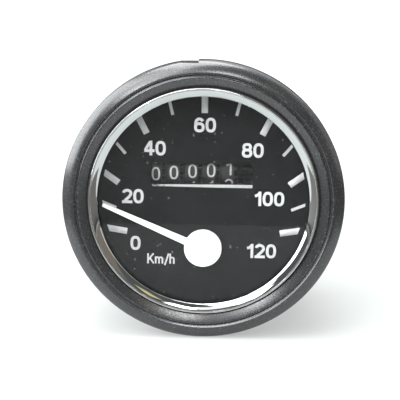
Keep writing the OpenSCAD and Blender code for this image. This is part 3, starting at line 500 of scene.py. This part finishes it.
def bezelSurface(s):
    # the moulding's gate left a flat: points of the rim above the flat's level go down to it
    flat = s["flat"]
    ends = np.arccos(np.array([flat["to"], flat["from"]]) / s["outer"])
    extra = np.linspace(ends[0] - flat["spill"], ends[1] + flat["spill"], 40)
    even = np.linspace(0, 2 * np.pi, s["steps"], endpoint=False)
    points, faces = turned(bezelProfile(s), np.sort(np.concatenate([even, extra, ends + flat["nudge"]])))
    x, y, z = points.T
    inside = (x > flat["from"]) & (x < flat["to"]) & (z > flat["level"]) & (y > -flat["deep"])
    points[:, 2] = np.where(inside, flat["level"], z)
    return points, faces


addPiece("bezelMoulding", [bezelSurface(bezelShape)], slotFinish["black_moulding"], "case_body",
         ["bezel"], 50)

# bright ring: a short wall beside the pane, a gently domed face, a crease, an outer bead and a hidden flange
trimShape = {"open": 22.55, "outer": 24.45, "lens": 4.6, "front": 6.0, "bead": 0.24, "flange": 26.3, "flangeAt": 5.1,
             "lip": 0.2, "faceEnd": 23.95, "faceWidth": 1.33, "faceDrop": 0.14, "tilt": (42, 22),
             "creaseWide": 0.05, "creaseDeep": 0.04, "beadFrom": 150, "steps": 320}


def trimProfile(s):
    # the face is an arc whose slope falls from the first tilt at the pane to the second at the crease
    steep, flat = np.radians(s["tilt"])
    bend = s["faceWidth"] / (np.sin(steep) - np.sin(flat))
    top = s["front"] - s["faceDrop"]
    face = bow(s["faceEnd"] + bend * np.sin(flat), top - bend * np.cos(flat), bend, bend,
               90 + s["tilt"][0], 90 + s["tilt"][1], 24)
    lipMid = face[0] - s["lip"] * np.array([-np.sin(steep), np.cos(steep)])
    lip = bow(*lipMid, s["lip"], s["lip"], 180, 90 + s["tilt"][0], 8)[:-1]
    crease = [[s["faceEnd"] + s["creaseWide"], top - s["creaseDeep"]]]
    outer = bow(s["outer"] - s["bead"], s["front"] - s["bead"], s["bead"], s["bead"], s["beadFrom"], 0, 12)
    return np.concatenate([[[s["open"], s["lens"]]], lip, face, crease, outer,
                           [[s["outer"], s["flangeAt"]], [s["flange"], s["flangeAt"]], [s["flange"], s["lens"]]]])


addPiece("brightRing", [turned(trimProfile(trimShape), trimShape["steps"])], slotFinish["bright_trim"],
         "case_body", ["bright_ring"], 60)

# pointer: a disc with rounded rims over a hub, and a tapering needle with a rounded back
pointerShape = {"pivot": -10.7, "disc": 4.05, "top": 3.05, "dome": 0.001, "under": 1.75, "hub": 1.7, "hubEnd": -0.15,
                "discEase": [0, 0.1, 0.05, 0.12, 0.28, 0], "steps": 160, "start": 3.0, "reach": 23.6, "root": 1.56,
                "tip": 0.74, "side": 0.6, "needle": 0.7, "needleEase": [0.04, 0.04, 0.22, 0.22], "lean": 67.5,
                "noseAt": [0.993, 0.998, 1.0], "noseWidth": [0.93, 0.80, 0.62]}


def pointerShapes(s):
    profile = eased([[0, s["hubEnd"]], [s["hub"], s["hubEnd"]], [s["hub"], s["under"]], [s["disc"], s["under"]],
                     [s["disc"], s["top"]], [0, s["top"] + s["dome"]]], s["discEase"], 8)
    disc = turned(profile, s["steps"], (0, s["pivot"]), loop=False)
    # needle: an eased box section whose width falls evenly from root to tip while one edge stays parallel to the
    # pointer's direction; the nose closes in three steps
    section = eased([[-0.5, 0], [0.5, 0], [0.5, 1], [-0.5, 1]], s["needleEase"], 6)
    u = np.concatenate([[0], np.linspace(0.02, 0.985, 24), s["noseAt"]])
    close = np.concatenate([np.ones(len(u) - len(s["noseAt"])), s["noseWidth"]])
    along = s["start"] + (s["reach"] - s["start"]) * u
    full = s["root"] + (s["tip"] - s["root"]) * u
    a = math.radians(s["lean"])
    d, n = np.array([-math.sin(a), math.cos(a)]), np.array([math.cos(a), math.sin(a)])
    across = full[:, None] * (close[:, None] * section[:, 0] - 0.5) + s["side"]
    flat = along[:, None, None] * d + across[..., None] * n
    high = s["under"] + s["needle"] * section[:, 1] * np.ones(len(u))[:, None]
    points = np.stack([flat[..., 0], -high, s["pivot"] + flat[..., 1]], -1).reshape(-1, 3)
    k, rows = len(section), len(u)
    caps = [list(range(k)), list(range((rows - 1) * k, rows * k))]
    return [disc, (points, gridFaces(rows, k, False, True), caps)]


addPiece("pointerBlade", pointerShapes(pointerShape), slotFinish["pointer_white"], "pointer",
         ["pointer"], 40)

# cable nipple: threaded spigot, flange with eased rims, stepped bore
nippleShape = {"centre": (0, -10.7), "steps": 96, "major": 5.0, "run": (-43.3, -34.95), "perTurn": 14,
               "nose": [[3.7, -44], [4.35, -44], [4.9, -43.55]],
               "flange": [[4.55, -34.95], [4.55, -34.4], [7.5, -34.4], [7.5, -33], [5, -33], [5, -30]],
               "flangeEase": [0, 0.1, 0.3, 0.15, 0, 0], "bore": [[3.4, -30], [3.4, -38.6], [3.7, -38.6]],
               "thread": {"pitch": 1.0, "depth": 0.5, "from": -43.6, "to": -35.0, "least": 4.6}}


def threadLine(radius, run):
    return np.stack([np.full(len(run), radius), run], -1)


def nippleProfile(s):
    run = np.arange(*s["run"], 1 / s["perTurn"])
    return np.concatenate([s["nose"], threadLine(s["major"], run), eased(s["flange"], s["flangeEase"], 6), s["bore"]])


addPiece("cableNipple",
         [turned(nippleProfile(nippleShape), nippleShape["steps"], nippleShape["centre"], nippleShape["thread"])],
         slotFinish["die_cast"], "case_body", ["cable_nipple"], 40)

# mounting studs: threaded rods with chamfered ends
studShape = {"across": 15.5, "rise": 8.0, "end": -47.0, "seat": -33.0, "foot": -30.0, "major": 2.0, "core": 1.6,
             "nose": [[0, 0], [1.5, 0], [1.9, 0.4]], "runFrom": 0.5, "runStep": 0.06, "steps": 64,
             "thread": {"pitch": 0.7, "depth": 0.38, "from": -46.6, "to": -33.6, "least": 1.7}}


def studProfile(s):
    run = np.arange(s["end"] + s["runFrom"], s["seat"], s["runStep"])
    root = [[s["major"], s["seat"]], [s["core"], s["seat"]], [s["core"], s["foot"]], [0, s["foot"]]]
    return np.concatenate([np.array(s["nose"]) + [0, s["end"]], threadLine(s["major"], run), root])


def studShapes(s):
    return [turned(studProfile(s), s["steps"], (k * s["across"], s["rise"]), s["thread"], False) for k in (-1, 1)]


addPiece("threadedStuds", studShapes(studShape), slotFinish["steel"], "case_body", ["mounting_studs"], 40)
print("turned pieces made")


# printed strips: where a strip's four lines lie across its width, and how high each stands
strip = {"across": np.array([-0.5, -0.47, 0.47, 0.5]), "high": np.array([-0.5, 1, 1, -0.5])}


def ribbon(path, width, rise, closed=False):
    # a low flat strip carried along a path: every point moves sideways along the path's own normal by half the width,
    # which is one value or one for each point
    p = np.asarray(path, float)
    ahead = np.roll(p, -1, 0) - np.roll(p, 1, 0) if closed else np.gradient(p, axis=0)
    ahead = ahead / np.linalg.norm(ahead, axis=1)[:, None]
    across = np.stack([-ahead[:, 1], ahead[:, 0]], -1)
    side = np.multiply.outer(np.broadcast_to(width, len(p)), strip["across"])
    flat = p[:, None] + across[:, None] * side[..., None]
    high = np.broadcast_to(strip["high"] * rise, flat.shape[:2])
    n = len(p)
    caps = [] if closed else [[0, 1, 2, 3], [4 * n - 4, 4 * n - 3, 4 * n - 2, 4 * n - 1]]
    return np.concatenate([flat, high[..., None]], -1).reshape(-1, 3), gridFaces(n, 4, closed, True), caps


def loopPath(cx, cy, rx, ry, square=2.5, n=40):
    # a rounded loop: powers of cosine and sine square the ellipse off a little
    a = np.linspace(0, 2 * np.pi, n, endpoint=False)
    c, s = (np.sign(v) * np.abs(v) ** (2 / square) for v in (np.cos(a), np.sin(a)))
    return np.stack([cx + rx * c, cy + ry * s], -1)


def glyphs(w, h, s):
    # centre lines of figures w wide and h high for a stroke s, as (path, closed) pairs about the figure's middle
    a, b, e = (w - s) / 2, (h - s) / 2, s / 2
    six = [(loopPath(0, -0.40 * b, a, 0.60 * b), True),
           (np.concatenate([bow(0.02 * a, 0.30 * b, 0.95 * a, 0.70 * b, 28, 180, 22), [[-a, -0.42 * b]]]), False)]
    return {
        "0": [(loopPath(0, 0, a, b), True)],
        "1": [(np.array([[0.47 * a, b + e], [0.47 * a, -b - e]]), False),
              (np.array([[-0.86 * a, 0.50 * b], [-0.35 * a, 0.57 * b], [0.1 * a, 0.74 * b], [0.36 * a, b]]), False)],
        "2": [(np.concatenate([bow(0, 0.46 * b, a, 0.54 * b, 168, -24, 22),
                               [[0.45 * a, -0.16 * b], [-0.35 * a, -0.62 * b], [-0.86 * a, -b - 0.2 * e]]]), False),
              (np.array([[-a - e, -b], [a + e, -b]]), False)],
        "3": [(np.concatenate([bow(0, 0.52 * b, 0.9 * a, 0.48 * b, 160, -70, 18), [[-0.1 * a, 0.05 * b]]]), False),
              (np.concatenate([[[-0.1 * a, 0.05 * b]], bow(0, -0.46 * b, a, 0.54 * b, 72, -162, 20)]), False)],
        "4": [(np.array([[0.28 * a, b + 0.3 * e], [-a - 0.2 * e, -0.36 * b]]), False),
              (np.array([[-a - 0.75 * e, -0.44 * b], [a + e, -0.44 * b]]), False),
              (np.array([[0.44 * a, b + e], [0.44 * a, -b - e]]), False)],
        "5": [(np.array([[-0.8 * a, b], [0.92 * a, b]]), False),
              (np.array([[-0.72 * a, b], [-0.84 * a, 0.0]]), False),
              (bow(0, -0.40 * b, a, 0.60 * b, 140, -160, 24), False)],
        "6": six,
        "7": [(np.array([[-a - e, b], [a + 0.6 * e, b]]), False),
              (np.array([[a, b], [0.25 * a, 0.1 * b], [-0.3 * a, -b - e]]), False)],
        "8": [(loopPath(0, 0.53 * b, 0.86 * a, 0.47 * b), True), (loopPath(0, -0.46 * b, a, 0.54 * b), True)],
        "9": [(-path, closed) for path, closed in six],
    }


def unitGlyphs(h, s):
    # centre lines of the unit's letters with their widths, standing on zero
    low = 0.70 * h

    def arch(x, w):
        crown = bow(x + w / 2, low - s / 2 - w * 0.45, w / 2, w * 0.45, 180, 0, 12)
        return np.concatenate([[[x, 0], [x, 0.45 * low]], crown, [[x + w, 0]]])

    return [("K", 1.55, [np.array([[0.16, 0], [0.16, h]]), np.array([[1.38, h], [0.2, 0.36 * h]]),
                         np.array([[0.55, 0.55 * h], [1.42, 0]])]),
            ("m", 1.95, [np.array([[0.16, 0], [0.16, low]]), arch(0.16, 0.74), arch(0.90, 0.74)]),
            ("slash", 1.0, [np.array([[0.08, -0.15 * h], [0.92, h]])]),
            ("h", 1.2, [np.array([[0.16, 0], [0.16, h]]), arch(0.16, 0.8)])]


dialShape = {"face": 1.15, "pivot": -10.7, "rise": 0.025, "lift": 0.005}


def onDial(shape):
    # strip coordinates (across, up from the pivot, height) on the dial's face
    p = shape[0]
    return (np.stack([p[:, 0], dialShape["face"] - p[:, 2], dialShape["pivot"] + p[:, 1]], -1), *shape[1:])


# scale strokes: radial about the pivot, cut off by the circle that the ring's opening leaves free
scaleShape = {"zero": -81.0, "perUnit": 1.35, "circle": 22.1, "wide": (1.4, 0.65), "rows": 6,
              "across": np.array([-0.5, -0.48, 0.48, 0.5]),
              "inner": [16.9, 20.6, 22.87, 26.13, 27.32, 29.25, 28.93, 29.25, 27.32, 26.13, 22.87, 20.6, 16.9]}


def scaleStroke(value, inner, s):
    # each line of the stroke starts at the inner radius and ends where it meets the circle about the dial's middle
    a = math.radians(s["zero"] + s["perUnit"] * value)
    d, n = np.array([math.sin(a), math.cos(a)]), np.array([math.cos(a), -math.sin(a)])
    side = s["across"] * s["wide"][value // 10 % 2]
    start = np.array([0, dialShape["pivot"]]) + side[:, None] * n
    along = start @ d
    outer = -along + np.sqrt(along ** 2 - (start ** 2).sum(1) + s["circle"] ** 2)
    t = inner + (outer - inner) * np.linspace(0, 1, s["rows"])[:, None]
    flat = side[None, :, None] * n + t[..., None] * d
    high = np.broadcast_to(strip["high"] * dialShape["rise"], t.shape)
    points = np.concatenate([flat, high[..., None]], -1).reshape(-1, 3)
    caps = [list(range(4)), list(range(len(points) - 4, len(points)))]
    return onDial((points, gridFaces(s["rows"], 4, False, True), caps))


addPiece("scaleStrokes", [scaleStroke(10 * i, inner, scaleShape) for i, inner in enumerate(scaleShape["inner"])],
         inks["dial"], "case_body", sharp=60)

# scale figures: bold upright digits, each group centred on its printed place
figureShape = {"wide": 2.25, "high": 3.2, "stroke": 0.62, "step": 2.45, "stepOne": 1.75,
               "places": {"0": (-14.86, -0.03), "20": (-15.43, 10.49), "40": (-10.65, 21.16), "60": (0.09, 26.35),
                          "80": (10.42, 20.98), "100": (14.24, 10.33), "120": (12.77, -1.41)}}


def figureShapes(s):
    signs = glyphs(s["wide"], s["high"], s["stroke"])
    made = []
    for word, place in s["places"].items():
        steps = np.array([s["stepOne"] if c == "1" else s["step"] for c in word])
        middles = np.cumsum(steps) - steps / 2
        strips = [ribbon(path + [x, 0], s["stroke"], dialShape["rise"] + dialShape["lift"] * k, closed)
                  for c, x in zip(word, middles) for k, (path, closed) in enumerate(signs[c])]
        ink = np.concatenate([p[0][:, :2] for p in strips])
        shift = np.array([*(np.array(place) - (ink.min(0) + ink.max(0)) / 2), 0])
        made += [onDial((p[0] + shift, *p[1:])) for p in strips]
    return made


addPiece("scaleFigures", figureShapes(figureShape), inks["dial"], "case_body", sharp=60)

# unit letters and the line under the counter's window
unitShape = {"left": -12.26, "foot": -4.62, "high": 2.28, "stroke": 0.37, "gap": 0.132, "slashGap": 0.11}
lineShape = {"from": -11.3, "to": 10.5, "at": 13.02, "wide": 0.72, "thin": 0.42, "fullFrom": 0.75, "points": 24}


def unitShapes(s):
    made, x = [], s["left"]
    for name, wide, paths in unitGlyphs(s["high"], s["stroke"]):
        made += [onDial(ribbon(path + [x, s["foot"]], s["stroke"], dialShape["rise"] + dialShape["lift"] * k))
                 for k, path in enumerate(paths)]
        x += wide + s["slashGap" if name == "slash" else "gap"]
    return made


def linePiece(s):
    # a straight strip that widens evenly from its left end
    u = np.linspace(0, 1, s["points"])
    path = np.stack([s["from"] + (s["to"] - s["from"]) * u, np.full(len(u), s["at"])], -1)
    return onDial(ribbon(path, np.interp(u, [0, s["fullFrom"]], [s["thin"], s["wide"]]), dialShape["rise"]))


addPiece("unitLetters", unitShapes(unitShape), inks["dial"], "case_body", sharp=60)
addPiece("windowLine", [linePiece(lineShape)], inks["line"], "case_body", sharp=60)

# drum figures: thin upright digits wrapped round each drum at even angles; shown is what stands in the window
drumShape = {"radius": 6.2, "depth": 8.45, "level": 5.05, "wide": 1.85, "high": 3.05, "stroke": 0.40, "rise": 0.02,
             "lift": 0.005, "figures": 10, "points": 12, "middles": [-10.5, -6.57, -2.53, 1.51, 5.39],
             "above": [-0.48, -0.13, 0.23, 0.48, 0.99], "shown": [0, 0, 0, 0, 1]}


def filled(path, n):
    # n points along a line that has only a few
    at = np.linspace(0, len(path) - 1, n)
    return np.stack([np.interp(at, range(len(path)), path[:, j]) for j in (0, 1)], -1)


def drumFigures(i, s):
    # a point at height v over the figure's middle goes to angle (start + v / radius) round the drum
    signs = glyphs(s["wide"], s["high"], s["stroke"])
    start = math.asin(s["above"][i] / s["radius"])
    made = []
    for k in range(s["figures"]):
        turn = start - 2 * math.pi / s["figures"] * (k - s["shown"][i])
        for layer, (path, closed) in enumerate(signs[str(k)]):
            dense = path if len(path) >= s["points"] else filled(path, s["points"])
            p, *faces = ribbon(dense, s["stroke"], s["rise"] + s["lift"] * layer, closed)
            a, r = turn + p[:, 1] / s["radius"], s["radius"] + p[:, 2]
            wrapped = [s["middles"][i] + p[:, 0], s["depth"] - r * np.cos(a), s["level"] + r * np.sin(a)]
            made.append((np.stack(wrapped, -1), *faces))
    return made


for i in range(len(drumShape["middles"])):
    addPiece(f"drumFigures{i + 1}", drumFigures(i, drumShape), inks["drum"], f"drum_{i + 1}", sharp=60)
print("print laid on dial and drums")

# the floor: a pale sheet lit from below, more so behind the object
floorShape = {"level": -30.0, "reach": 3000.0, "rows": 9, "pale": (0.235, 0.245, 0.241), "paler": (0.265, 0.275, 0.271),
              "gloss": 0.2, "cloud": 9, "rough": 0.7, "cloudRough": 0.1, "grain": 900, "bump": 0.1, "depth": 0.05,
              "glowNear": (0.42, 0.43, 0.425), "glowFar": (1.05, 1.06, 1.055), "glowFrom": 30, "glowTo": 420}
# the dim room beyond the sheet: flat cards that only reflections see
cardShape = {"level": -29.8, "dark": (0.07, 0.066, 0.064), "pale": (0.105, 0.098, 0.095), "gloss": 0.1, "cloud": 14,
             "rough": 0.7, "cloudRough": 0.2, "spans": {
                 "front": (-700, 700, -1500, -103), "left": (-700, -92, -103, 400), "right": (88, 700, -103, 400),
                 "nearLeft": (-92, -33, -103, -38), "nearRight": (36, 88, -103, -38)}}


def addStage(name, points, faces, finish):
    mesh = bpy.data.meshes.new(name)
    mesh.from_pydata((points * mm).tolist(), [], faces.tolist())
    mesh.materials.append(finish.material)
    piece = bpy.data.objects.new(name, mesh)
    bpy.context.scene.collection.objects.link(piece)
    return piece


def makeFloor(s):
    f = Finish("paleFloor", gloss=s["gloss"], glowPower=1.0)
    cloud = f.noise(s["cloud"], 3)
    behind = f.ease(f.axes()[1], s["glowFrom"] * mm, s["glowTo"] * mm)
    f.feed(colour=f.mix(cloud, s["pale"], s["paler"]), rough=cloud * s["cloudRough"] + s["rough"],
           glow=f.mix(behind, s["glowNear"], s["glowFar"]),
           normal=f.relief(f.noise(s["grain"], 3), s["bump"], s["depth"] * mm))
    u = np.linspace(-1, 1, s["rows"]) * s["reach"]
    x, y = np.meshgrid(u, u)
    points = np.stack([x, y, np.full_like(x, s["level"])], -1).reshape(-1, 3)
    addStage("floor", points, gridFaces(s["rows"], s["rows"]), f)


def makeCards(s):
    f = Finish("dimTable", gloss=s["gloss"])
    cloud = f.noise(s["cloud"], 3)
    f.feed(colour=f.mix(cloud, s["dark"], s["pale"]), rough=cloud * s["cloudRough"] + s["rough"])
    spans = np.array(list(s["spans"].values()), float)
    level = np.full((len(spans), 4), s["level"])
    corners = np.stack([spans[:, [0, 1, 1, 0]], spans[:, [2, 2, 3, 3]], level], -1).reshape(-1, 3)
    cards = addStage("dimTable", corners, np.arange(len(corners)).reshape(-1, 4), f)
    cards.visible_camera = cards.visible_diffuse = cards.visible_shadow = cards.visible_transmission = False


makeFloor(floorShape)
makeCards(cardShape)

# soft boxes: place, aim and size in mm; aim, spread and colour as in lampStyle unless given
lampStyle = {"aim": (0, 0, 0), "spread": 180, "colour": (1, 1, 1)}
lamps = {
    "window": {"at": (-330, -40, 188), "aim": (0, 0, 60), "size": (340, 385), "power": 3.1, "colour": (0.96, 0.985, 1)},
    "sash": {"at": (-163, -242, 273), "size": (210, 220), "power": 0.85, "colour": (0.97, 0.99, 1)},
    "key": {"at": (51, -324, 229), "size": (90, 70), "power": 0.3, "colour": (1, 0.99, 0.97)},
    "lintel": {"at": (-50, -310, 248), "size": (110, 100), "power": 0.06},
    "roof": {"at": (-50, -40, 420), "size": (310, 310), "power": 3.0, "colour": (0.97, 0.99, 1)},
    "fill": {"at": (150, 190, 420), "aim": (50, 10, 0), "size": (700, 700), "power": 1.7, "spread": 120},
    "backLeft": {"at": (-300, 330, 250), "size": (420, 380), "power": 0.6},
    "lowPane": {"at": (-177, -306, 188), "size": (90, 70), "power": 0.22, "colour": (0.98, 0.99, 1)},
    "glint": {"at": (185, -330, 235), "size": (90, 80), "power": 0.022, "colour": (1, 0.85, 0.4)},
    "shelf": {"at": (330, -270, 70), "size": (300, 170), "power": 0.03, "colour": (1, 0.74, 0.5)},
    "wall": {"at": (400, -30, 200), "aim": (0, 0, 60), "size": (300, 400), "power": 0.34, "colour": (1, 0.98, 0.96)},
}
surround = {"colour": (0.80, 0.81, 0.80), "strength": 0.18}


def softBox(name, s):
    data = bpy.data.lights.new(name, "AREA")
    data.shape, data.size, data.size_y = "RECTANGLE", s["size"][0] * mm, s["size"][1] * mm
    data.energy, data.color, data.spread = s["power"], s["colour"], math.radians(s["spread"])
    lamp = bpy.data.objects.new(name, data)
    bpy.context.scene.collection.objects.link(lamp)
    at = Vector(s["at"]) * mm
    lamp.location = at
    lamp.rotation_euler = (Vector(s["aim"]) * mm - at).to_track_quat("-Z", "Y").to_euler()
    lamp.visible_camera = False


def makeSurround(s):
    world = bpy.data.worlds.new("surround")
    world.use_nodes = True
    sky = world.node_tree.nodes["Background"]
    sky.inputs["Color"].default_value = (*s["colour"], 1)
    sky.inputs["Strength"].default_value = s["strength"]
    bpy.context.scene.world = world


for name, s in lamps.items():
    softBox(name, {**lampStyle, **s})
makeSurround(surround)
bpy.context.scene.view_settings.view_transform = "Standard"
print("floor and light set")
